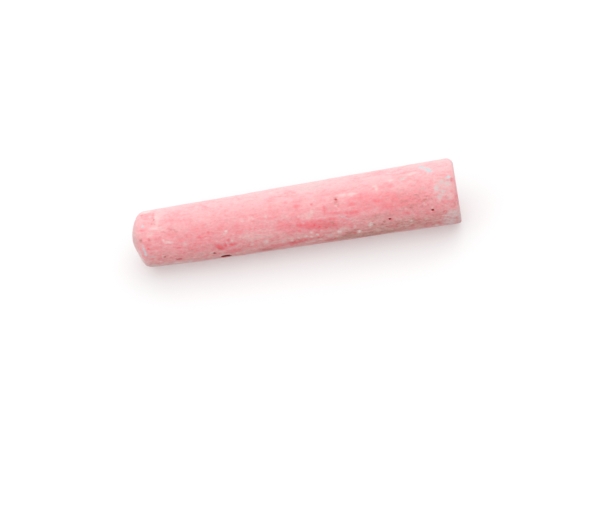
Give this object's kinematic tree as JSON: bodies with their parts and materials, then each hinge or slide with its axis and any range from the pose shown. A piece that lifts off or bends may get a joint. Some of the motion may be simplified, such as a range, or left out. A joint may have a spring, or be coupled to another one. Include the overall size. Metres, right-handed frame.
{
  "type": "jumbo pavement chalk stick",
  "caption": "Tapered round stick of moulded pavement chalk, with a flat wide end and a blunt worn tip rubbed flat on one side.",
  "frame": {"origin": "centre of the wide end's flat face, on which the stick stands", "axes": "+Z along the stick, from its wide end up to its worn tip; -Y is the side that shows in the usual view, and the tip's broad rubbed flat faces -X"},
  "size_m": [0.02, 0.02, 0.1],
  "materials": {
    "chalk": "dry, powdery matt"
  },
  "bodies": {
    "root": {"chalk_stick": "chalk"}
  },
  "joints": []
}
